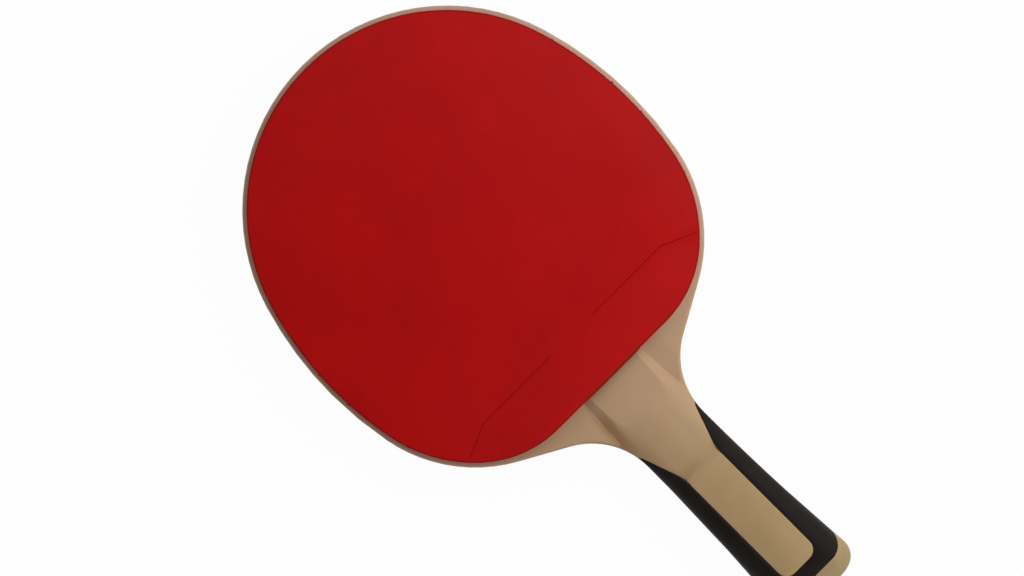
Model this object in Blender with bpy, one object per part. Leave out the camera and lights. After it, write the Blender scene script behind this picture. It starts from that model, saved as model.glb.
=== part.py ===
"""Table tennis racket: one moulded blade and handle, an overmoulded grip, and a rubber on each face.

The handle runs along -Y, the front face looks along +Z, and the origin is the middle of the bounding box.
Sizes are in metres. The racket is the same on the left and right, and its moulding on the front and back.
"""
import math
from collections import namedtuple

import bmesh
import bpy

# Fit between neighbouring pieces
clearance = 0.0003

# Plan outline of the moulding
racket_length = 0.2618
head_width = 0.150
widest_from_top = 0.0898
cheek_radius = 0.133
cheek_drop = math.radians(11.0)
corner_radius = 0.0555
throat_angle = math.radians(61.0)
throat_radius = 0.028
neck_width = 0.0277
flare_radius = 0.83
butt_corner_radius = 0.0071

# Thickness of the moulding and rounding of its edges
blade_thickness = 0.0060
handle_thickness = 0.0230
rim_radius = 0.0010
butt_edge_radius = 0.0035

# Rubbers: one glue film, one sponge and one topsheet on each face
rubber_margin = 0.0018
heel_cut = 0.0052
heel_radius = 0.041
glue_film_thickness = 0.0001
sponge_thickness = 0.0015
topsheet_thickness = 0.0016

# Sculpted throat: a ramp between two slanting flanks that climbs to the handle's face
ramp_step = 0.0013
ramp_lead_angle = math.radians(7.0)
ramp_sweep = 5.0
ramp_half_width = 0.0140
flank_angle = math.radians(28.0)
crest_radius = 0.0004
flank_end_above_neck = 0.0112
neck_flat_width = 0.0120
shoulder_below_neck = 0.0130
face_flat_width = 0.0150
rounding_share = 0.9
neck_crown = 0.0007
crown_start = 0.24
crown_full = 0.40
crown_fade = 0.25
crease_length = 0.0005
valley_depth = 0.0002
valley_length = 0.0030

# Grip: a soft sleeve in a pocket all round the handle, open over the strip on each face
grip_thickness = 0.0016
strip_width = 0.0159
strip_corner_radius = 0.0042
strip_end_above_butt = 0.0125
grip_end_above_butt = 0.0069
grip_end_radius = 0.0066
grip_end_slope = math.radians(25.0)
wing_root_above_shoulder = 0.0016
wing_root_radius = 0.016
wing_tip_above_neck = 0.0036
wing_tip_inset = 0.0005
nose_length = 0.0036
nose_root_length = 0.0060
nose_point = 0.7

# Hollow inside the handle and the plug that closes it
hollow_width = 0.0150
hollow_height = 0.0115
hollow_corner_radius = 0.0035
hollow_end_below_shoulder = 0.0059
hollow_draft = 0.0010
plug_head_width = 0.0174
plug_head_height = 0.0136
plug_head_thickness = 0.0022
plug_head_radius = 0.0042
plug_edge = 0.0004
plug_spigot_length = 0.0090
plug_wall = 0.0018

# Smoothness of the meshes
arc_step = math.radians(4.6)
butt_step = math.radians(13.0)
rim_steps = 3
crest_steps = 8
crown_steps = 3
shoulder_steps = 3
valley_steps = 3
handle_steps = 6
corner_steps = 6

# Places along the racket that follow from the sizes
top_y = racket_length / 2
butt_y = -racket_length / 2
blade_half = blade_thickness / 2
handle_half = handle_thickness / 2


Circle = namedtuple("Circle", "x y radius")
Station = namedtuple("Station", "x y normal_x normal_y")


def on_circle(circle, angle):
    """Point of a circle at an angle."""
    return circle.x + circle.radius * math.cos(angle), circle.y + circle.radius * math.sin(angle)


def head_circles():
    """Crown, cheek and lower corner, each tangent to the next, the cheek tangent to the head's width."""
    reach = cheek_radius - head_width / 2
    crown_radius = (cheek_radius ** 2 - reach ** 2 - widest_from_top ** 2) / (2 * (cheek_radius - widest_from_top))
    crown = Circle(0.0, top_y - crown_radius, crown_radius)
    cheek = Circle(-reach, top_y - widest_from_top, cheek_radius)
    inner = cheek_radius - corner_radius
    corner = Circle(
        cheek.x + inner * math.cos(cheek_drop),
        cheek.y - inner * math.sin(cheek_drop),
        corner_radius,
    )
    return crown, cheek, corner


crown, cheek, corner = head_circles()
crown_end = math.atan2(crown.y - cheek.y, crown.x - cheek.x)

# The throat leaves the corner on a straight run and turns into the neck
run_start = on_circle(corner, -throat_angle)
run_length = (run_start[0] - throat_radius * (1 - math.cos(throat_angle)) - neck_width / 2) / math.sin(throat_angle)
neck_y = run_start[1] - run_length * math.cos(throat_angle) - throat_radius * math.sin(throat_angle)
bend_y = butt_y + butt_corner_radius
shoulder_y = neck_y - shoulder_below_neck
rubber_end_y = corner.y - corner_radius + heel_cut
ramp_y = rubber_end_y - clearance
flank_end_y = neck_y + flank_end_above_neck


def arc(circle, start, end, step=arc_step):
    """Stations along an arc, each with its outward normal."""
    count = max(2, round(abs(end - start) / step))
    stations = []
    for index in range(count + 1):
        angle = start + (end - start) * index / count
        stations.append(Station(*on_circle(circle, angle), math.cos(angle), math.sin(angle)))
    return stations


def head_arcs(margin):
    """Right half of the head from the crown to the lower corner's end, drawn in by a margin."""
    drawn = [Circle(each.x, each.y, each.radius - margin) for each in (crown, cheek, corner)]
    stations = arc(drawn[0], math.pi / 2, crown_end)
    stations += arc(drawn[1], crown_end, 0.0)[1:]
    stations += arc(drawn[1], 0.0, -cheek_drop)[1:]
    return stations, drawn[2]


def throat_arc():
    """Right half of the neck, which curves the other way from the head."""
    vale = Circle(neck_width / 2 + throat_radius, neck_y, throat_radius)
    stations = arc(vale, math.pi - throat_angle, math.pi)
    return [Station(each.x, each.y, -each.normal_x, -each.normal_y) for each in stations]


def flare_half_width(y):
    """Half width of the handle, which flares towards the butt along one wide arc."""
    return neck_width / 2 + flare_radius - math.sqrt(flare_radius ** 2 - (neck_y - y) ** 2)


def handle_stations():
    """Right half of the handle below the neck, with stations close by the shoulder, then the rounded butt."""
    stations = []
    valley_y = shoulder_y + valley_length
    crease_y = shoulder_y + crease_length
    for start, end, steps in (
        (neck_y, valley_y, shoulder_steps),
        (valley_y, crease_y, valley_steps),
        (crease_y, shoulder_y, 1),
        (shoulder_y, bend_y, handle_steps),
    ):
        for index in range(1, steps + 1):
            y = start + (end - start) * index / steps
            stations.append(Station(flare_half_width(y), y, 1.0, 0.0))
    bend = Circle(flare_half_width(bend_y) - butt_corner_radius, bend_y, butt_corner_radius)
    for each in arc(bend, 0.0, -math.pi / 2, butt_step)[1:]:
        stations.append(Station(each.x, each.y, 1.0, 0.0))
    return stations


def whole_outline():
    """Right half of the moulding's outline from the crown to the butt."""
    stations, lower = head_arcs(0.0)
    stations += arc(lower, -cheek_drop, -throat_angle)[1:]
    return stations + throat_arc() + handle_stations()


outline = whole_outline()


def station_at(y):
    """Station of the outline at a place below the widest part of the head."""
    for above, below in zip(outline, outline[1:]):
        if below.y <= y <= above.y:
            share = (above.y - y) / (above.y - below.y)
            return Station(*(a + (b - a) * share for a, b in zip(above, below)))
    return outline[-1]


ramp_length = ramp_y - shoulder_y
flank_run = ramp_y - flank_end_y
flank_end_x = station_at(flank_end_y).x - rim_radius


def face_height(y):
    """Height of the middle of the face: the ramp climbs and sweeps up to the shoulder, then all is level."""
    start = blade_half + ramp_step
    way = min(ramp_y - y, ramp_length)
    lead = math.tan(ramp_lead_angle)
    sweep = handle_half - start - lead * ramp_length
    height = start + lead * way + sweep * (way / ramp_length) ** ramp_sweep
    drop_start = butt_y + butt_edge_radius
    if y < drop_start:
        fall = drop_start - y
        height -= butt_edge_radius - math.sqrt(max(butt_edge_radius ** 2 - fall ** 2, 0.0))
    return height


# Where the flank reaches the neck's edge, one arc from the flat of the face meets the blade's rounded rim
neck_reach = flank_end_x - neck_flat_width / 2
neck_slope = 2 * math.atan((face_height(flank_end_y) - blade_half) / neck_reach)
neck_crest_radius = neck_reach / math.sin(neck_slope)

# Below it the rim climbs too, until the side of the handle is upright and its rounding meets the flat squarely
rim_low = blade_half - rim_radius
rim_high = handle_half - station_at(shoulder_y).x + face_flat_width / 2


def smooth(share):
    """Ease from 0 to 1."""
    share = min(max(share, 0.0), 1.0)
    return share * share * (3 - 2 * share)


def crown_drop(x, y, foot, creased):
    """How far the face falls away from its middle: it is flat on the ramp and on the strip, and crowned between.

    On the moulding the crown and a shallow valley end at a crease on the shoulder. On the grip the crown fades out.
    """
    way = (ramp_y - y) / ramp_length
    if way > 1 - crease_length / ramp_length / 2:
        return 0.0
    across = min(x / foot, 1.0)
    drop = neck_crown * smooth((way - crown_start) / (crown_full - crown_start)) * 6.75 * across ** 2 * (1 - across)
    if creased:
        valley = valley_depth * smooth((shoulder_y + valley_length - y) / (valley_length - crease_length))
        return drop + valley * (1 - across ** 2)
    return drop * smooth((1 - way) / crown_fade)


def dome(y, half_width):
    """Section of the raised face at y: flat half width, crest radius, slope at its foot and foot's place."""
    height = face_height(y)
    if y > flank_end_y:
        share = (ramp_y - y) / flank_run
        foot = ramp_half_width + (flank_end_x - ramp_half_width) * share
        slope = flank_angle + (neck_slope - flank_angle) * share
        radius = crest_radius + (neck_crest_radius - crest_radius) * share ** 3
        ridge = foot - (height - blade_half) / math.tan(slope)
        flat = ridge - radius * math.tan(slope / 2)
        return flat, radius, slope, foot
    share = min((flank_end_y - y) / (flank_end_y - shoulder_y), 1.0)
    flat = (neck_flat_width + (face_flat_width - neck_flat_width) * share) / 2
    slope = math.pi / 2
    if share < 1.0:
        rim = rim_low + (rim_high - rim_low) * share
        slope = min(slope, 2 * math.atan((height - rim - rim_radius) / (half_width - rim_radius - flat)))
    edge = half_width - rim_radius * (1 - math.sin(slope))
    radius = min((edge - flat) / math.sin(slope), rounding_share * height / (1 - math.cos(slope)))
    return edge - radius * math.sin(slope), radius, slope, edge


def rim_row(station, lean, shelf):
    """Side wall and rounded edge at a station, from the middle plane up to a surface that leans inward."""
    x, y, normal_x, normal_y = station
    center = shelf - rim_radius * math.cos(lean)
    row = [(x, y, 0.0)]
    for index in range(rim_steps + 1):
        turn = math.pi / 2 + (lean - math.pi / 2) * index / rim_steps
        inset = rim_radius * (1 - math.sin(turn))
        row.append((x - normal_x * inset, y - normal_y * inset, center + rim_radius * math.cos(turn)))
    return row


def section_row(station, creased):
    """Upper right quarter of the section at a throat or handle station, from the side to the middle."""
    y = station.y
    height = face_height(y)
    flat, radius, slope, foot = dome(y, station.x)
    shelf = height - radius * (1 - math.cos(slope))
    if y > flank_end_y:
        row = rim_row(station, 0.0, blade_half)
        row.append((foot, y, blade_half))
    else:
        row = rim_row(Station(station.x, y, 1.0, 0.0), slope, shelf)
        row.append(row[-1])
    top = []
    for index in range(crest_steps + 1):
        turn = slope * (1 - index / crest_steps)
        top.append((flat + radius * math.sin(turn), height - radius * (1 - math.cos(turn))))
    for index in range(1, crown_steps + 1):
        top.append((flat * (1 - index / crown_steps), height))
    return row + [(x, y, z - crown_drop(x, y, foot, creased)) for x, z in top]


def butt_row(station):
    """Section at a butt station: the last full section drawn in to the rounded end."""
    wide = flare_half_width(bend_y)
    model = section_row(Station(wide, bend_y, 1.0, 0.0), False)
    across = station.x / wide
    through = face_height(station.y) / handle_half
    return [(x * across, station.y, z * through) for x, _, z in model]


def handle_rows(stations, creased):
    """Sections of the throat, handle and butt in order."""
    return [butt_row(station) if station.y < bend_y else section_row(station, creased) for station in stations]


def new_object(name, builder):
    """Make a named object from a bmesh."""
    mesh = bpy.data.meshes.new(name)
    builder.to_mesh(mesh)
    builder.free()
    made = bpy.data.objects.new(name, mesh)
    bpy.context.scene.collection.objects.link(made)
    return made


def skin(builder, rows):
    """Join rows of vertices, one station after another, with quads."""
    for upper, lower in zip(rows, rows[1:]):
        for index in range(min(len(upper), len(lower)) - 1):
            builder.faces.new((upper[index], upper[index + 1], lower[index + 1], lower[index]))


def mirrored_quarter(made, axes):
    """Complete a quarter or half model across the middle planes."""
    mirror = made.modifiers.new("both sides", "MIRROR")
    mirror.use_axis = axes
    mirror.use_clip = True
    mirror.merge_threshold = 0.00001


def finish_quarter(builder):
    """Close up doubled corners and turn the faces of an open quarter outward."""
    bmesh.ops.remove_doubles(builder, verts=builder.verts, dist=0.000002)
    bmesh.ops.recalc_face_normals(builder, faces=builder.faces)
    highest = max(builder.faces, key=lambda face: face.calc_center_median().z)
    if highest.normal.z < 0:
        bmesh.ops.reverse_faces(builder, faces=builder.faces)


def moulding_quarter(name, creased):
    """Blade, throat and handle in one skin, before the pocket and the hollow are cut."""
    head = [station for station in outline if station.y > ramp_y + rim_radius]
    throat = [station_at(ramp_y)] + [station for station in outline if station.y < ramp_y - rim_radius]
    builder = bmesh.new()
    rows = [[builder.verts.new(point) for point in rim_row(station, 0.0, blade_half)] for station in head]
    sections = [[builder.verts.new(point) for point in row] for row in handle_rows(throat, creased)]
    skin(builder, rows + sections[:1])
    skin(builder, sections)
    first = sections[0]
    foot = rim_steps + 2
    middle_low = builder.verts.new((0.0, ramp_y, blade_half))
    builder.faces.new([row[rim_steps + 1] for row in rows] + [first[rim_steps + 1], first[foot], middle_low])
    builder.faces.new([middle_low] + first[foot:])
    last = sections[-1]
    builder.faces.new(last + [builder.verts.new((0.0, butt_y, 0.0))])
    finish_quarter(builder)
    made = new_object(name, builder)
    mirrored_quarter(made, (True, False, True))
    return made


def handle_core(name, inset):
    """The handle's inner form, an even layer below its outer skin."""
    end_y = butt_y + grip_end_above_butt / 2
    between = [station for station in outline if end_y < station.y < flank_end_y]
    stations = [station_at(flank_end_y)] + between + [station_at(end_y)]
    builder = bmesh.new()
    rows = []
    for row in handle_rows(stations, False):
        across = 1 - inset / row[0][0]
        through = 1 - inset / row[-1][2]
        rows.append([builder.verts.new((x * across, row[0][1], z * through)) for x, _, z in row])
    skin(builder, rows)
    for row in (rows[0], rows[-1]):
        builder.faces.new(row + [builder.verts.new((0.0, row[0].co.y, 0.0))])
    finish_quarter(builder)
    made = new_object(name, builder)
    mirrored_quarter(made, (True, False, True))
    return made


def prism(name, outline, low, high, axis):
    """Extrude a closed outline of coordinate pairs along one axis, 'X' or 'Z'."""
    builder = bmesh.new()
    if axis == "X":
        base = [builder.verts.new((low, a, b)) for a, b in outline]
        way = (high - low, 0.0, 0.0)
    else:
        base = [builder.verts.new((a, b, low)) for a, b in outline]
        way = (0.0, 0.0, high - low)
    face = builder.faces.new(base)
    grown = bmesh.ops.extrude_face_region(builder, geom=[face])
    moved = [item for item in grown["geom"] if isinstance(item, bmesh.types.BMVert)]
    bmesh.ops.translate(builder, verts=moved, vec=way)
    bmesh.ops.recalc_face_normals(builder, faces=builder.faces)
    return new_object(name, builder)


def as_cutter(made):
    """A guide solid that is drawn as wires and left out of the finished racket."""
    made.hide_render = True
    made.display_type = "WIRE"
    return made


def add_boolean(made, other, operation):
    """Cut, join or intersect with another solid."""
    cut = made.modifiers.new(operation.lower() + " " + other.name, "BOOLEAN")
    cut.operation = operation
    cut.solver = "EXACT"
    cut.object = other


def right_arc(circle, start, end):
    """Points of a small arc."""
    return [on_circle(circle, start + (end - start) * index / corner_steps) for index in range(corner_steps + 1)]


def both_sides(right):
    """Close an outline from its right half, which runs from one middle point to the other."""
    return right + [(-x, y) for x, y in reversed(right) if x > 0.0]


def wing_tip(grow):
    """Place of the wing's tip in plan, and the height of the skin there."""
    y = neck_y + wing_tip_above_neck
    x = neck_width / 2 - wing_tip_inset
    flat, radius, _, foot = dome(y, station_at(y).x)
    height = face_height(y) - radius + math.sqrt(radius ** 2 - (x - flat) ** 2) - crown_drop(x, y, foot, True)
    return x - grow, y, height + grow


def wing_root(strip, root_y, tip_x, tip_y):
    """Rounded corner where the strip's edge turns out towards the wing's tip."""
    turn = math.atan2(tip_x - strip, tip_y - root_y)
    reach = wing_root_radius * math.tan(turn / 2)
    bend = Circle(strip + wing_root_radius, root_y - reach, wing_root_radius)
    return right_arc(bend, math.pi, math.pi - turn)


def wing_outline(grow):
    """Right half of the grip's plan: a wing beside the strip, joined to the other wing below it."""
    strip = strip_width / 2 - grow
    strip_end = butt_y + strip_end_above_butt + grow
    strip_radius = strip_corner_radius - grow
    root_y = shoulder_y + wing_root_above_shoulder
    tip_x, tip_y, _ = wing_tip(grow)
    end_y = butt_y + grip_end_above_butt - grow
    radius = grip_end_radius + grow
    side = flare_half_width(end_y + radius)
    outside = side + radius
    right = [(0.0, strip_end)]
    right += right_arc(Circle(strip - strip_radius, strip_end + strip_radius, strip_radius), -math.pi / 2, 0.0)
    right += wing_root(strip, root_y, tip_x, tip_y)
    right += [(tip_x, tip_y), (outside, tip_y)]
    bend = Circle(side - radius, end_y + radius, radius)
    leave_x, leave_y = on_circle(bend, -grip_end_slope)
    right.append((outside, leave_y + (outside - leave_x) / math.tan(grip_end_slope)))
    right += right_arc(bend, -grip_end_slope, -math.pi / 2)
    right.append((0.0, end_y))
    return right


def wing_zone(name, grow):
    """Everything the grip may fill, grown by half the clearance for the pocket or shrunk for the grip."""
    reach = handle_thickness
    zone = prism(name, both_sides(wing_outline(grow)), -reach, reach, "Z")
    _, tip_y, height = wing_tip(grow)
    length = nose_length + grow
    upper = [(tip_y - nose_root_length, height)]
    for index in range(corner_steps):
        share = (1 - index / corner_steps) ** 2
        upper.append((tip_y + length * (1 - share), height * share ** nose_point))
    nose = upper + [(tip_y + length, 0.0)] + [(y, -z) for y, z in reversed(upper)]
    nose_prism = as_cutter(prism(name + "_nose", nose, -head_width / 4, head_width / 4, "X"))
    add_boolean(zone, nose_prism, "UNION")
    return as_cutter(zone)


def rounded_rectangle(width, height, radius, y):
    """Corners of a rounded rectangle across the handle at y."""
    points = []
    for sign_x, sign_z, start in ((1, 1, 0), (-1, 1, 90), (-1, -1, 180), (1, -1, 270)):
        for index in range(corner_steps + 1):
            angle = math.radians(start + 90 * index / corner_steps)
            x = sign_x * (width / 2 - radius) + radius * math.cos(angle)
            z = sign_z * (height / 2 - radius) + radius * math.sin(angle)
            points.append((x, y, z))
    return points


def ring_stack(name, rings):
    """Solid through a row of rounded rectangles, each given as (width, height, corner radius, y)."""
    builder = bmesh.new()
    loops = [[builder.verts.new(point) for point in rounded_rectangle(*ring)] for ring in rings]
    for first, second in zip(loops, loops[1:]):
        count = len(first)
        for index in range(count):
            after = (index + 1) % count
            builder.faces.new((first[index], first[after], second[after], second[index]))
    builder.faces.new(loops[0])
    builder.faces.new(loops[-1])
    bmesh.ops.recalc_face_normals(builder, faces=builder.faces)
    return new_object(name, builder)


def hollow_cutter():
    """The core that leaves the handle hollow, with a wider seat for the plug's head at the butt."""
    past = clearance
    seat_y = butt_y + plug_head_thickness + clearance
    seat = (plug_head_width + 2 * clearance, plug_head_height + 2 * clearance, plug_head_radius + clearance)
    end_y = shoulder_y - hollow_end_below_shoulder
    tip = (hollow_width - 2 * hollow_draft, hollow_height - 2 * hollow_draft, hollow_corner_radius - hollow_draft)
    rings = [
        (*seat, butt_y - past),
        (*seat, seat_y),
        (hollow_width, hollow_height, hollow_corner_radius, seat_y),
        (*tip, end_y),
    ]
    return as_cutter(ring_stack("hollow_core", rings))


def rubber_outline():
    """Outline of the rubber: the head's outline drawn in, closed by a straight heel with rounded corners."""
    stations, lower = head_arcs(rubber_margin)
    radius = min(heel_radius, 0.9 * lower.radius)
    heel_y = rubber_end_y + radius
    span = lower.radius - radius
    heel = Circle(lower.x + math.sqrt(span ** 2 - (lower.y - heel_y) ** 2), heel_y, radius)
    join = math.atan2(heel.y - lower.y, heel.x - lower.x)
    stations += arc(lower, -cheek_drop, join)[1:]
    stations += arc(heel, join, -math.pi / 2)[1:]
    return both_sides([(0.0, stations[0].y)] + [(station.x, station.y) for station in stations[1:]])


def layer(name, side, start, thickness):
    """One sheet of a rubber on the front (side 1) or the back (side -1)."""
    low, high = sorted((side * start, side * (start + thickness)))
    return prism(name, rubber_outline(), low, high, "Z")


def set_material(made, color, roughness, metallic=0.0):
    """Give an object its own plain material, with the colour in linear values."""
    material = bpy.data.materials.new(made.name)
    material.use_nodes = True
    shader = material.node_tree.nodes["Principled BSDF"]
    shader.inputs["Base Color"].default_value = (*color, 1.0)
    shader.inputs["Roughness"].default_value = roughness
    shader.inputs["Metallic"].default_value = metallic
    made.data.materials.append(material)


def shade_round(made, angle):
    """Smooth shading with sharp edges kept above an angle."""
    made.data.shade_smooth()
    made.data.set_sharp_from_angle(angle=math.radians(angle))


for old in list(bpy.data.objects):
    bpy.data.objects.remove(old, do_unlink=True)

# Moulding: blade, sculpted throat and handle in one piece of filled plastic
body = moulding_quarter("body", True)
pocket = wing_zone("pocket", clearance / 2)
pocket_core = as_cutter(handle_core("pocket_core", grip_thickness + clearance))
add_boolean(pocket, pocket_core, "DIFFERENCE")
add_boolean(body, pocket, "DIFFERENCE")
add_boolean(body, hollow_cutter(), "DIFFERENCE")
set_material(body, (0.42, 0.28, 0.17), 0.55)
shade_round(body, 25)

# Grip: the soft black sleeve that fills the pocket, flush with the moulding's skin
grip = moulding_quarter("grip_sleeve", False)
grip_core = as_cutter(handle_core("grip_core", grip_thickness))
add_boolean(grip, wing_zone("wing_zone", -clearance / 2), "INTERSECT")
add_boolean(grip, grip_core, "DIFFERENCE")
set_material(grip, (0.016, 0.015, 0.014), 0.6)
shade_round(grip, 25)

# Plug: closes the hollow at the butt, its head flush with the end face
plug_reach = butt_y + plug_head_thickness + plug_spigot_length
spigot_width = hollow_width - 2 * clearance - hollow_draft
spigot_height = hollow_height - 2 * clearance - hollow_draft
spigot = (spigot_width, spigot_height, hollow_corner_radius - clearance)
cup = (spigot_width - 2 * plug_wall, spigot_height - 2 * plug_wall, hollow_corner_radius - clearance - plug_wall / 2)
plug = ring_stack("butt_plug", [
    (plug_head_width - 2 * plug_edge, plug_head_height - 2 * plug_edge, plug_head_radius - plug_edge, butt_y),
    (plug_head_width, plug_head_height, plug_head_radius, butt_y + plug_edge),
    (plug_head_width, plug_head_height, plug_head_radius, butt_y + plug_head_thickness),
    (*spigot, butt_y + plug_head_thickness),
    (*spigot, plug_reach),
    (*cup, plug_reach),
    (*cup, butt_y + plug_head_thickness),
])
set_material(plug, (0.42, 0.28, 0.17), 0.55)
shade_round(plug, 25)

# Rubbers: glue film, sponge and topsheet, one on top of the other
film_start = blade_half + (clearance - glue_film_thickness) / 2
sponge_start = blade_half + clearance
topsheet_start = sponge_start + sponge_thickness + clearance
topsheet_colors = {"front": (0.36, 0.008, 0.009), "back": (0.012, 0.012, 0.012)}
for face, side in (("front", 1), ("back", -1)):
    film = layer(face + "_glue_film", side, film_start, glue_film_thickness)
    set_material(film, (0.62, 0.60, 0.52), 0.4)
    sponge = layer(face + "_sponge", side, sponge_start, sponge_thickness)
    set_material(sponge, (0.60, 0.24, 0.05), 0.9)
    topsheet = layer(face + "_rubber", side, topsheet_start, topsheet_thickness)
    set_material(topsheet, topsheet_colors[face], 0.5)
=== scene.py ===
"""Table tennis racket, lying on a pale table with its red face up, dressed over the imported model.

The handle runs along -Y and the red face looks along +Z. Sizes are in metres unless a name says mm, and the scale of
a pattern counts its grains or cells in a metre.
"""
import math

import bmesh
import bpy
from mathutils import Matrix, Vector


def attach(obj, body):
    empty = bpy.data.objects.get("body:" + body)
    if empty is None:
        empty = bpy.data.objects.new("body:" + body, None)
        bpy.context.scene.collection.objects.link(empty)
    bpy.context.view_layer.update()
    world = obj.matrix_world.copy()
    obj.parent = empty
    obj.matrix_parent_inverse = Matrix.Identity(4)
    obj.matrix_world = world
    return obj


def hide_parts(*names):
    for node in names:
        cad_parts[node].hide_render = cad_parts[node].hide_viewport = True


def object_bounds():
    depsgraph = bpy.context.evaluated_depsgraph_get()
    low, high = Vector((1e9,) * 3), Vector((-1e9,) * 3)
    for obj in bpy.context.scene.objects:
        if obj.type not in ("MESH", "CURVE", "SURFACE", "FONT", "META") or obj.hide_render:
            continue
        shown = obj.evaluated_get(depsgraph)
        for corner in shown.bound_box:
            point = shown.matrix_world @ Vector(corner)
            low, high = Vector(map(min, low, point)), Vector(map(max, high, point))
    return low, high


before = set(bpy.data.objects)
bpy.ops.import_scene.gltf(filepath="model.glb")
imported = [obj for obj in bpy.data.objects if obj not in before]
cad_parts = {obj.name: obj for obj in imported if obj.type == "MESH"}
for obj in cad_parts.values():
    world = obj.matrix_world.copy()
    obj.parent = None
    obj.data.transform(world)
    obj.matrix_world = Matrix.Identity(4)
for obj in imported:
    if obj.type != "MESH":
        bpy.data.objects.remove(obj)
cad_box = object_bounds()

# Moulding: blade, sculpted throat, strips and butt in one injection moulding of glass-filled nylon. The mould is
# spark-eroded, so the warm beige skin has a fine even grain and a soft sheen.
blade_top = 0.0030
ramp_foot_begins, ramp_foot_ends = -0.0242, -0.0445
strip_top = 0.0115
crease_begins, crease_ends = -0.0674, -0.0711
crease_low = 0.0100
crease_cuts = (-0.0697, -0.0705, -0.0714)
grip_begins, grip_ends = -0.0475, -0.1245
loose_corner = 0.00001
mould_corner = 0.00012
flash_half_height = 0.00006
flash_width = 0.00005


def linear(hex_color):
    """Turn an sRGB hex colour into the linear values that a shader takes."""
    channels = [int(hex_color[i : i + 2], 16) / 255 for i in (1, 3, 5)]
    return (*[c / 12.92 if c <= 0.04045 else ((c + 0.055) / 1.055) ** 2.4 for c in channels], 1.0)


def node(material, kind, settings=None, **inputs):
    """Add a node with its own settings. An input goes by its name, or by _ and its number, and a socket is linked."""
    made = material.node_tree.nodes.new("ShaderNode" + kind)
    for name, value in (settings or {}).items():
        setattr(made, name, value)
    for name, value in inputs.items():
        socket = made.inputs[int(name[1:]) if name[0] == "_" else name.replace("_", " ")]
        if isinstance(value, bpy.types.NodeSocket):
            material.node_tree.links.new(value, socket)
        else:
            socket.default_value = value
    return made


def new_material(name):
    """An empty node material, and the socket with the place of each point of the piece in metres."""
    material = bpy.data.materials.new(name)
    material.use_nodes = True
    material.node_tree.nodes.clear()
    place = node(material, "TexCoord").outputs["Object"]
    return material, place


def finish_material(material, shader):
    """Send the finished shader to the material's output."""
    out = node(material, "OutputMaterial")
    material.node_tree.links.new(shader.outputs["BSDF"], out.inputs["Surface"])


def wear(piece, material):
    """Give a piece one material in every slot."""
    for slot in piece.material_slots:
        slot.material = material
    if not piece.material_slots:
        piece.data.materials.append(material)


def clouded(material, place, dark, light, size_mm, detail=3.0, spread=0.5):
    """Colour that drifts between a darker and a lighter tone in soft clouds of a given size."""
    clouds = node(material, "TexNoise", Vector=place, Scale=1000 / size_mm, Detail=detail, Roughness=0.6)
    tone = node(
        material,
        "MapRange",
        Value=clouds.outputs["Fac"],
        From_Min=0.5 - spread / 2,
        From_Max=0.5 + spread / 2,
    )
    return node(
        material, "Mix", {"data_type": "RGBA"}, _0=tone.outputs["Result"], _6=linear(dark), _7=linear(light)
    ).outputs[2]


def select_faces(piece, wanted):
    """Select only the faces that a test on their middle and normal picks, and go on in edit mode."""
    bpy.ops.object.mode_set(mode="OBJECT")
    for part in (*piece.data.vertices, *piece.data.edges, *piece.data.polygons):
        part.select = False
    for polygon in piece.data.polygons:
        polygon.select = wanted(polygon.center, polygon.normal)
    bpy.ops.object.mode_set(mode="EDIT")
    bpy.ops.mesh.select_mode(type="FACE")


def select_piece(piece):
    """Select only one piece, and work on it."""
    bpy.ops.object.select_all(action="DESELECT")
    piece.select_set(True)
    bpy.context.view_layer.objects.active = piece


def add_modifier(piece, kind, **settings):
    """Put a modifier on a piece and apply it at once."""
    made = piece.modifiers.new(kind.lower(), kind)
    for name, value in settings.items():
        setattr(made, name, value)
    select_piece(piece)
    bpy.ops.object.modifier_apply(modifier=made.name)


def merged_copy(node_name, name, merge):
    """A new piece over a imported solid, with its loose corners merged and its flats joined up."""
    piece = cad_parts[node_name].copy()
    piece.data = piece.data.copy()
    piece.parent = None
    piece.name = name
    bpy.context.scene.collection.objects.link(piece)
    select_piece(piece)
    bpy.ops.object.mode_set(mode="EDIT")
    bpy.ops.mesh.select_all(action="SELECT")
    bpy.ops.mesh.customdata_custom_splitnormals_clear()
    bpy.ops.mesh.remove_doubles(threshold=merge)
    bpy.ops.mesh.dissolve_limited(angle_limit=math.radians(1.0))
    bpy.ops.object.mode_set(mode="OBJECT")
    return piece


def round_edges(piece):
    """Round every sharp edge of a moulded piece by about 0.1 mm, as the mould's own corners are."""
    add_modifier(
        piece, "BEVEL", width=mould_corner, segments=2, limit_method="ANGLE", angle_limit=math.radians(35)
    )


def smooth(piece, angle):
    """Shade a piece smooth, with the edges above an angle kept sharp."""
    piece.data.shade_smooth()
    piece.data.set_sharp_from_angle(angle=math.radians(angle))


def on_the_strip(middle, normal):
    """True on the level faces of the two strips."""
    return abs(normal.z) > 0.99 and abs(middle.z) > strip_top - 10 * loose_corner


def in_the_crease(middle, normal):
    """True on the faces between throat and strip that look up or down."""
    return abs(normal.z) > 0.2 and abs(middle.z) > crease_low and crease_ends < middle.y < crease_begins


def on_the_parting_line(middle, normal):
    """True on the narrow band round the blade, the throat and the butt, but not in the hollow or under the grip."""
    return (
        abs(middle.z) < flash_half_height
        and abs(normal.z) < 0.5
        and (middle.y > grip_begins or middle.y < grip_ends)
    )


moulding = merged_copy("body", "moulding", loose_corner)

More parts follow.
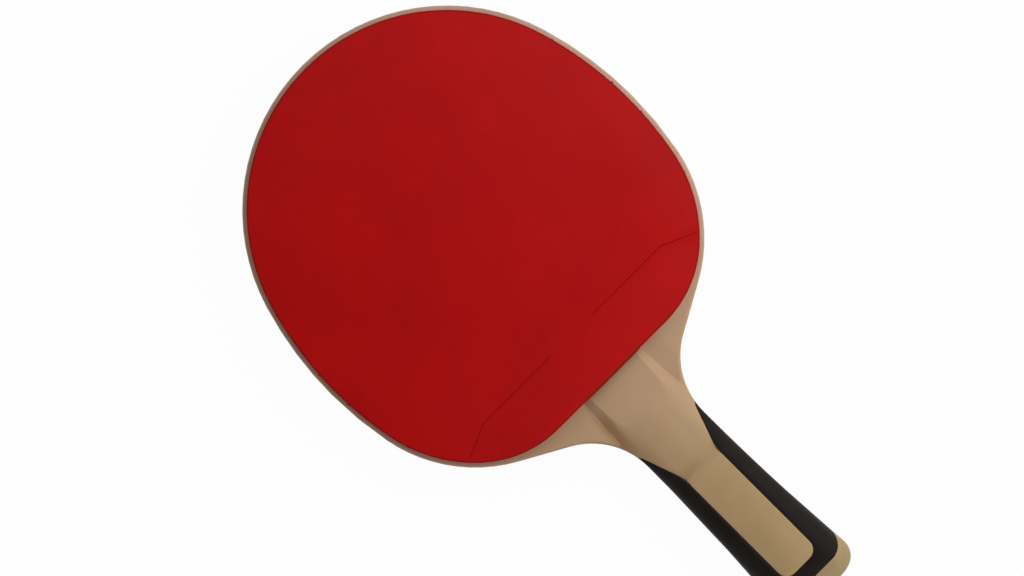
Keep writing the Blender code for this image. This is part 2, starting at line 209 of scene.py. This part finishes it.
# The strip begins at a soft crease across the shoulder: its step is eased over 3 mm
for cut in crease_cuts:
    select_faces(moulding, on_the_strip)
    bpy.ops.mesh.bisect(plane_co=(0.0, cut, 0.0), plane_no=(0.0, 1.0, 0.0))
select_faces(moulding, in_the_crease)
bpy.ops.mesh.vertices_smooth(factor=0.5, repeat=6, xaxis=False, yaxis=False)
bpy.ops.object.mode_set(mode="OBJECT")
round_edges(moulding)

# Parting line of the mould: a thin flash stands up round the blade's edge, half way between its faces
bpy.ops.object.mode_set(mode="EDIT")
for height in (-flash_half_height, flash_half_height):
    bpy.ops.mesh.select_all(action="SELECT")
    bpy.ops.mesh.bisect(plane_co=(0.0, 0.0, height), plane_no=(0.0, 0.0, 1.0))
select_faces(moulding, on_the_parting_line)
bpy.ops.mesh.extrude_region_shrink_fatten(TRANSFORM_OT_shrink_fatten={"value": flash_width})
bpy.ops.object.mode_set(mode="OBJECT")
smooth(moulding, 32)

# The ramp's flanks meet the blade in a crisp line, though at a flatter angle
for line in moulding.data.edges:
    ends = [moulding.data.vertices[index].co for index in line.vertices]
    on_the_blade = all(abs(abs(end.z) - blade_top) < 2 * loose_corner for end in ends)
    if on_the_blade and all(ramp_foot_ends < end.y < ramp_foot_begins for end in ends):
        line.use_edge_sharp = abs(ends[0].y - ends[1].y) > abs(ends[0].x - ends[1].x)

# The grain breaks the light up into a soft sheen. On the real one it is about 0.05 mm wide, and it is drawn at
# 0.25 mm so that it shows. The strip, which the palm touches, has gone a little yellower than the throat, the thin
# edge round the head a little pinker and the butt a little greyer.
moulded_nylon, place = new_material("moulded_nylon_spark_eroded")
along = node(moulded_nylon, "SeparateXYZ", Vector=place)
color = clouded(moulded_nylon, place, "#aa8969", "#b19271", 22)
for dark, light, size_mm, begins, full in (
    ("#9d825a", "#a58a62", 18, -0.035, -0.085),  # strip
    ("#b08a75", "#b7937f", 14, -0.028, -0.012),  # edge round the head
    ("#907b56", "#98835d", 14, -0.122, -0.126),  # butt
):
    tone = clouded(moulded_nylon, place, dark, light, size_mm)
    amount = node(moulded_nylon, "MapRange", Value=along.outputs["Y"], From_Min=begins, From_Max=full)
    color = node(
        moulded_nylon, "Mix", {"data_type": "RGBA"}, _0=amount.outputs["Result"], _6=color, _7=tone
    ).outputs[2]

# Painted shade: the crease where the strip begins is painted darker, most towards the left, and so is the root of the
# V left of the ramp, where the light leaves them in shade. Each patch fades in from one place to another along X or
# Y.
crease_painted_shade = (("X", 0.012, -0.009), ("Y", -0.0630, -0.0675), ("Y", -0.0696, -0.0675))
ramp_root_painted_shade = (("X", -0.0176, -0.0149), ("X", -0.0105, -0.0132), ("Y", -0.028, -0.036), ("Y", -0.052, -0.044))
for tone, amount, fades in (("#6b4a33", 0.27, crease_painted_shade), ("#8f5f38", 0.50, ramp_root_painted_shade)):
    for axis, begins, full in fades:
        fade = node(
            moulded_nylon,
            "MapRange",
            {"interpolation_type": "SMOOTHSTEP"},
            Value=along.outputs[axis],
            From_Min=begins,
            From_Max=full,
        )
        amount = node(
            moulded_nylon, "Math", {"operation": "MULTIPLY"}, _0=fade.outputs["Result"], _1=amount
        ).outputs["Value"]
    color = node(moulded_nylon, "Mix", {"data_type": "RGBA"}, _0=amount, _6=color, _7=linear(tone)).outputs[2]
grain = node(moulded_nylon, "TexNoise", Vector=place, Scale=4000.0, Detail=2.0)
grain_bump = node(moulded_nylon, "Bump", Strength=0.25, Distance=0.00004, Height=grain.outputs["Fac"])
sheen = node(moulded_nylon, "MapRange", Value=grain.outputs["Fac"], To_Min=0.50, To_Max=0.62)
nylon_skin = node(
    moulded_nylon,
    "BsdfPrincipled",
    Base_Color=color,
    Roughness=sheen.outputs["Result"],
    IOR=1.53,
    Specular_IOR_Level=0.25,
    Normal=grain_bump.outputs["Normal"],
)
finish_material(moulded_nylon, nylon_skin)
wear(moulding, moulded_nylon)
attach(moulding, "root")
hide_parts("body")

# Butt plug: closes the hollow that the core of the mould leaves in the handle. It is moulded in the same nylon with
# the same skin, and pressed in until its head lies flush with the butt.
plug = merged_copy("butt_plug", "plug", loose_corner)
round_edges(plug)
smooth(plug, 32)
wear(plug, moulded_nylon)
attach(plug, "root")
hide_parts("butt_plug")

# Grip: a soft thermoplastic rubber moulded round the handle, flush with the nylon and open over its strips. It is
# near black and matt, with a leathery skin of shallow cells 0.6 mm wide.
soft_rubber, place = new_material("overmoulded_soft_rubber")
color = clouded(soft_rubber, place, "#14100e", "#1b1614", 9)
leather = node(soft_rubber, "TexVoronoi", {"feature": "SMOOTH_F1"}, Vector=place, Scale=1600.0, Smoothness=0.6)
leather_bump = node(soft_rubber, "Bump", Strength=0.35, Distance=0.00008, Height=leather.outputs["Distance"])
soft_skin = node(
    soft_rubber,
    "BsdfPrincipled",
    Base_Color=color,
    Roughness=0.58,
    IOR=1.48,
    Specular_IOR_Level=0.1,
    Normal=leather_bump.outputs["Normal"],
)
finish_material(soft_rubber, soft_skin)
grip = merged_copy("grip_sleeve", "grip", 5 * loose_corner)
round_edges(grip)
smooth(grip, 32)
wear(grip, soft_rubber)
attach(grip, "root")
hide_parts("grip_sleeve")

# Glue films: a water-based latex contact adhesive, brushed on the blade and on the sponge and left to dry before the
# two are pressed together. Only their cut edge shows, milky and a little yellow, with a dull gloss.
dried_latex, place = new_material("dried_latex_glue")
color = clouded(dried_latex, place, "#cfc8ae", "#e3dec9", 3)
finish_material(dried_latex, node(dried_latex, "BsdfPrincipled", Base_Color=color, Roughness=0.35, IOR=1.52))
for face in ("front", "back"):
    wear(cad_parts[face + "_glue_film"], dried_latex)

# Sponges: sheets of foamed rubber, orange in front and pale yellow behind, glued between blade and topsheet. The
# knife that cuts them round the head opens their pores, 0.3 mm wide, so that the edge looks dull and pitted.
for face, dark, light in (("front", "#c8641e", "#dd7f34"), ("back", "#c9a24a", "#d9b765")):
    foam, place = new_material(face + "_foamed_rubber")
    pores = node(foam, "TexVoronoi", Vector=place, Scale=3500.0)
    color = clouded(foam, place, dark, light, 0.6)
    pore_bump = node(foam, "Bump", Strength=0.8, Distance=0.0001, Height=pores.outputs["Distance"])
    foam_edge = node(
        foam, "BsdfPrincipled", Base_Color=color, Roughness=0.9, IOR=1.5, Normal=pore_bump.outputs["Normal"]
    )
    finish_material(foam, foam_edge)
    wear(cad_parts[face + "_sponge"], foam)

# Topsheets: vulcanised rubber, red in front and black behind, smooth and satin outside and pimpled inside. A sheet is
# glued on by its pimples and cut round the head with a knife, which drags its upper edge a little round, and a
# shallow line is pressed in near the handle.
sheet_top = 0.0067
sheet_thickness = 0.0008
sheet_edge_radius = 0.0006
outline_top_y = 0.1291
heel_half_width = 0.0267248
line_corners_mm = ((10.5, -3.75), (43.6, -3.75), (44.7, -4.0), (45.6, -4.5), (56.6, -9.3))
wire_radius = 0.00018
wire_above_sheet = 0.00002
pimple_length = 0.0011
pimple_radius = 0.0009
pimple_tip_share = 0.84
pitch = 0.0021
row_step = pitch * math.sqrt(0.75)
grid_rows, grid_columns = range(-12, 73), range(-36, 37)
band_begins, band_ends = 0.0011, 0.0062
mark_spacing = 0.002


def cut_sheet(name):
    """The sheet in front: outline drawn in arcs, mirrored, filled, given its thickness and its rounded edge."""
    bpy.ops.object.select_all(action="DESELECT")
    bpy.ops.mesh.primitive_plane_add(size=0.001, location=(0.0, outline_top_y, sheet_top))
    sheet = bpy.context.active_object
    sheet.name = name
    bpy.ops.object.transform_apply(location=True, rotation=True, scale=True)
    bpy.ops.object.mode_set(mode="EDIT")
    bpy.ops.mesh.select_mode(type="VERT")
    bpy.ops.mesh.select_all(action="SELECT")
    bpy.ops.mesh.merge(type="CENTER")
    # Clockwise from the top of the head, round one centre after another, to the corner at the heel
    for degrees, centre_x, centre_y, steps in (
        (73.3595, 0.0, 0.0584352, 26),
        (27.6405, -0.058, 0.0411, 22),
        (36.0782, 0.0180761, 0.0263123, 16),
        (42.9218, heel_half_width, 0.0170123, 16),
    ):
        bpy.ops.mesh.spin(
            steps=steps, angle=math.radians(degrees), center=(centre_x, centre_y, sheet_top), axis=(0.0, 0.0, 1.0)
        )
    bpy.ops.mesh.extrude_region_move(TRANSFORM_OT_translate={"value": (-heel_half_width, 0.0, 0.0)})
    bpy.ops.object.mode_set(mode="OBJECT")
    add_modifier(sheet, "MIRROR", use_clip=True, merge_threshold=5 * loose_corner)
    bpy.ops.object.mode_set(mode="EDIT")
    bpy.ops.mesh.select_all(action="SELECT")
    bpy.ops.mesh.edge_face_add()
    bpy.ops.mesh.extrude_region_move(TRANSFORM_OT_translate={"value": (0.0, 0.0, -sheet_thickness)})
    bpy.ops.mesh.select_all(action="SELECT")
    bpy.ops.mesh.normals_make_consistent(inside=False)
    select_faces(sheet, lambda middle, normal: normal.z > 0.9)
    bpy.ops.mesh.region_to_loop()
    bpy.ops.mesh.bevel(offset=sheet_edge_radius, segments=4, profile=0.5, affect="EDGES")
    bpy.ops.object.mode_set(mode="OBJECT")
    return sheet


def fine_cut_line(sheet):
    """Places about 2 mm apart all round the sheet's cut edge, on its underside."""
    underside = max(sheet.data.polygons, key=lambda polygon: polygon.area if polygon.normal.z < -0.9 else 0.0)
    corners = [sheet.data.vertices[index].co for index in underside.vertices]
    corners = [Vector((corner.x, corner.y, 0.0)) for corner in corners]
    points = []
    for here, after in zip(corners, corners[1:] + corners[:1]):
        steps = max(1, round((after - here).length / mark_spacing))
        points += [here.lerp(after, step / steps) for step in range(steps)]
    return points


def inside(spot, outline):
    """True where a place lies within a closed outline."""
    within = False
    for here, after in zip(outline, outline[1:] + outline[:1]):
        if (here.y > spot.y) != (after.y > spot.y):
            if spot.x < here.x + (after.x - here.x) * (spot.y - here.y) / (after.y - here.y):
                within = not within
    return within


def mould_pimples(name, outline):
    """The pimples inside the sheet, one modelled and copied on a 2.1 mm grid in the band that the cut edge shows."""
    bpy.ops.object.select_all(action="DESELECT")
    middle_z = sheet_top - sheet_thickness - pimple_length / 2
    bpy.ops.mesh.primitive_cylinder_add(
        vertices=8, radius=pimple_radius, depth=pimple_length, location=(0.0, 0.0, middle_z)
    )
    pimple = bpy.context.active_object
    bpy.ops.object.transform_apply(location=True, rotation=True, scale=True)
    bpy.ops.object.mode_set(mode="EDIT")
    select_faces(pimple, lambda middle, normal: normal.z < -0.9)
    bpy.ops.mesh.extrude_region_move(TRANSFORM_OT_translate={"value": (0.0, 0.0, 0.0)})
    bpy.ops.transform.resize(value=(pimple_tip_share, pimple_tip_share, 1.0))
    bpy.ops.object.mode_set(mode="OBJECT")
    band = bmesh.new()
    for row in grid_rows:
        for column in grid_columns:
            spot = Vector((pitch * (column + row % 2 / 2), row * row_step, 0.0))
            gap = min((spot - corner).length for corner in outline)
            if inside(spot, outline) and band_begins < gap < band_ends:
                one = pimple.data.copy()
                one.transform(Matrix.Translation(spot))
                band.from_mesh(one)
                bpy.data.meshes.remove(one)
    bpy.data.objects.remove(pimple, do_unlink=True)
    mesh = bpy.data.meshes.new(name)
    band.to_mesh(mesh)
    band.free()
    made = bpy.data.objects.new(name, mesh)
    bpy.context.scene.collection.objects.link(made)
    return made


def press_line(sheet):
    """Press the shallow line in: a thin wire half sunk into the sheet on each side of the bare middle."""
    for side in (-1, 1):
        path = bpy.data.curves.new("pressing_wire", "CURVE")
        path.dimensions = "3D"
        path.bevel_depth = wire_radius
        path.bevel_resolution = 2
        path.use_fill_caps = True
        spline = path.splines.new("POLY")
        spline.points.add(len(line_corners_mm) - 1)
        for point, (x, y) in zip(spline.points, line_corners_mm):
            point.co = (side * x / 1000, y / 1000, sheet_top + wire_above_sheet, 1.0)
        wire = bpy.data.objects.new("pressing_wire", path)
        bpy.context.scene.collection.objects.link(wire)
        select_piece(wire)
        bpy.ops.object.convert(target="MESH")
        add_modifier(sheet, "BOOLEAN", operation="DIFFERENCE", solver="EXACT", object=wire)
        bpy.data.objects.remove(wire, do_unlink=True)


def part_skin_from_cut(sheet):
    """Sort the faces: the flat top and underside take the first material, the cut edge and the line the second."""
    for polygon in sheet.data.polygons:
        below_top = sheet_top - polygon.center.z
        flat = min(below_top, abs(below_top - sheet_thickness)) < loose_corner
        polygon.material_index = 0 if flat else 1


def turned_over(piece, name):
    """A copy on the other face of the racket, turned over about its long axis, with its own mesh."""
    copied = piece.copy()
    copied.data = piece.data.copy()
    copied.name = name
    copied.data.transform(Matrix.Rotation(math.pi, 4, "Y"))
    bpy.context.scene.collection.objects.link(copied)
    return copied


front_sheet = cut_sheet("front_topsheet")
front_pimples = mould_pimples("front_pimples", fine_cut_line(front_sheet))
press_line(front_sheet)
part_skin_from_cut(front_sheet)
back_sheet = turned_over(front_sheet, "back_topsheet")
back_pimples = turned_over(front_pimples, "back_pimples")

# The outside is satin, with faint darker clouds where balls and palms have worn it. Its grain is finer than 0.05 mm
# and is drawn at 0.45 mm so that it shows. The pimples show faintly through it, as three crossed waves that peak
# together on their grid. At scale 1 a wave goes through 20 radians in a metre.
wave_scale = math.tau / (20 * row_step)
for face, dark, light, sheet, pimples in (
    ("front", "#9f0a0d", "#b30e0d", front_sheet, front_pimples),
    ("back", "#151515", "#1b1b1b", back_sheet, back_pimples),
):
    vulcanised, place = new_material(face + "_vulcanised_rubber")
    color = clouded(vulcanised, place, dark, light, 30, detail=4.0, spread=0.7)
    print_through = 0.0
    for turn in (-60, 0, 60):
        turned = node(vulcanised, "Mapping", Vector=place, Rotation=(0.0, 0.0, math.radians(turn)))
        wave = node(
            vulcanised,
            "TexWave",
            {"bands_direction": "Y"},
            Vector=turned.outputs["Vector"],
            Scale=wave_scale,
            Phase_Offset=math.pi,
        )
        print_through = node(vulcanised, "Math", _0=wave.outputs["Fac"], _1=print_through).outputs["Value"]
    print_bump = node(vulcanised, "Bump", Strength=0.5, Distance=0.00001, Height=print_through)
    satin = node(vulcanised, "TexNoise", Vector=place, Scale=2200.0, Detail=3.0)
    satin_bump = node(
        vulcanised,
        "Bump",
        Strength=0.12,
        Distance=0.00003,
        Height=satin.outputs["Fac"],
        Normal=print_bump.outputs["Normal"],
    )
    satin_skin = node(
        vulcanised,
        "BsdfPrincipled",
        Base_Color=color,
        Roughness=0.4,
        IOR=1.52,
        Specular_IOR_Level=0.1,
        Normal=satin_bump.outputs["Normal"],
    )
    finish_material(vulcanised, satin_skin)
    for piece in (sheet, pimples):
        wear(piece, vulcanised)
        smooth(piece, 35)
        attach(piece, "root")
    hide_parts(face + "_rubber")

# The knife leaves the cut edge dull. Its darker colour is painted shade, for the shadow under the sheet's rounded
# edge. Its fine marks are drawn at 0.3 mm so that they show. The pressed line is painted with the same shade.
for face, dark, light, sheet in (
    ("front", "#80080a", "#900a0b", front_sheet),
    ("back", "#0e0e0e", "#131313", back_sheet),
):
    cut_edge_painted_shade, place = new_material(face + "_knife_cut_rubber_painted_shade")
    color = clouded(cut_edge_painted_shade, place, dark, light, 4)
    drag = node(cut_edge_painted_shade, "TexNoise", Vector=place, Scale=3000.0, Detail=2.0)
    drag_bump = node(cut_edge_painted_shade, "Bump", Strength=0.4, Distance=0.00005, Height=drag.outputs["Fac"])
    dull_edge = node(
        cut_edge_painted_shade,
        "BsdfPrincipled",
        Base_Color=color,
        Roughness=0.7,
        IOR=1.52,
        Specular_IOR_Level=0.1,
        Normal=drag_bump.outputs["Normal"],
    )
    finish_material(cut_edge_painted_shade, dull_edge)
    sheet.data.materials.append(cut_edge_painted_shade)

# Table: a plain painted board just below the handle, which isn't part of the racket. The eye sees it glow nearly
# white, with a trace of the racket's soft shadow. The lamps' light meets plain paint, which throws some of it back on
# the racket's edge.
table_side = 6.0
table_gap = 0.0002
glow_share = 0.97
white = (1.0, 1.0, 1.0, 1.0)


def seen_by_eye(owner):
    """1 for rays from the camera and for mirrored or refracted ones, 0 for rays that carry light to the racket."""
    path = node(owner, "LightPath")
    either = path.outputs["Is Camera Ray"]
    for kind in ("Is Glossy Ray", "Is Transmission Ray"):
        either = node(owner, "Math", {"operation": "MAXIMUM"}, _0=either, _1=path.outputs[kind]).outputs["Value"]
    return either


bpy.ops.object.select_all(action="DESELECT")
bpy.ops.mesh.primitive_plane_add(size=table_side, location=(0.0, 0.0, cad_box[0].z - table_gap))
table = bpy.context.active_object
table.name = "table"
white_board = new_material("white_table")[0]
paint = node(white_board, "BsdfDiffuse", Color=linear("#e6e6e6"))
glow = node(white_board, "Emission", Color=white, Strength=1.0)
share = node(white_board, "Math", {"operation": "MULTIPLY"}, _0=seen_by_eye(white_board), _1=glow_share)
mixed = node(white_board, "MixShader", _0=share.outputs["Value"], _1=paint.outputs[0], _2=glow.outputs[0])
white_board.node_tree.links.new(mixed.outputs[0], node(white_board, "OutputMaterial").inputs["Surface"])
wear(table, white_board)

# Light: a large soft lamp at the right of the picture, and two weaker ones at the upper left and the lower right that
# reach the edge where the sheet would leave it in shadow. Each one looks at the middle of the racket.
camera_up = Vector((1.0, 1.0, 0.0)).normalized()
camera_right = Vector((1.0, -1.0, 0.0)).normalized()
look_at = Vector((-0.0032, 0.0228, 0.0))
for name, right, up, height, side, power in (
    ("key_lamp", 0.46, 0.37, 0.54, 0.7, 4.45),
    ("upper_left_lamp", -0.50, 0.70, 0.76, 0.76, 3.1),
    ("lower_right_lamp", 0.45, -0.32, 0.50, 0.5, 1.85),
):
    spot = look_at + camera_right * right + camera_up * up + Vector((0.0, 0.0, height))
    bpy.ops.object.light_add(type="AREA", location=spot)
    lamp = bpy.context.active_object
    lamp.name = name
    lamp.data.size = side
    lamp.data.energy = power
    lamp.rotation_euler = (spot - look_at).to_track_quat("Z", "Y").to_euler()

# Room: pale at eye level and dark towards the ceiling, so that the red doesn't mirror a pale sky. Its walls light
# the racket at half strength, and the eye and mirrored rays see them white.
wall_ends, ceiling_begins = 0.3, 0.85
ceiling_strength = 0.02
room = bpy.data.worlds.new("pale_room")
bpy.context.scene.world = room
room.use_nodes = True
room.node_tree.nodes.clear()
way = node(room, "SeparateXYZ", Vector=node(room, "TexCoord").outputs["Generated"])
strengths = []
for wall_strength in (0.5, 1.0):
    falling = node(
        room,
        "MapRange",
        {"interpolation_type": "SMOOTHSTEP"},
        Value=way.outputs["Z"],
        From_Min=wall_ends,
        From_Max=ceiling_begins,
        To_Min=wall_strength,
        To_Max=ceiling_strength,
    )
    strengths.append(falling.outputs["Result"])
strength = node(room, "Mix", _0=seen_by_eye(room), _2=strengths[0], _3=strengths[1])
air = node(room, "Background", Color=white, Strength=strength.outputs[0])
room.node_tree.links.new(air.outputs[0], node(room, "OutputWorld").inputs["Surface"])

# Camera: straight above the racket, turned so that the handle runs to the lower right of the picture. Its lens is
# chosen by the width that it sees at the height of the blade's middle.
camera_height = 1.5
width_seen = 0.3626
sensor_width_mm = 36.0
bpy.ops.object.camera_add(location=look_at + Vector((0.0, 0.0, camera_height)))
camera = bpy.context.active_object
camera.data.sensor_width = sensor_width_mm
camera.data.lens = sensor_width_mm * camera_height / width_seen
camera.data.clip_start = 0.01
camera.rotation_euler = Matrix((camera_right, camera_up, (0.0, 0.0, 1.0))).transposed().to_euler()
bpy.context.scene.camera = camera
bpy.context.scene.view_settings.view_transform = "Standard"
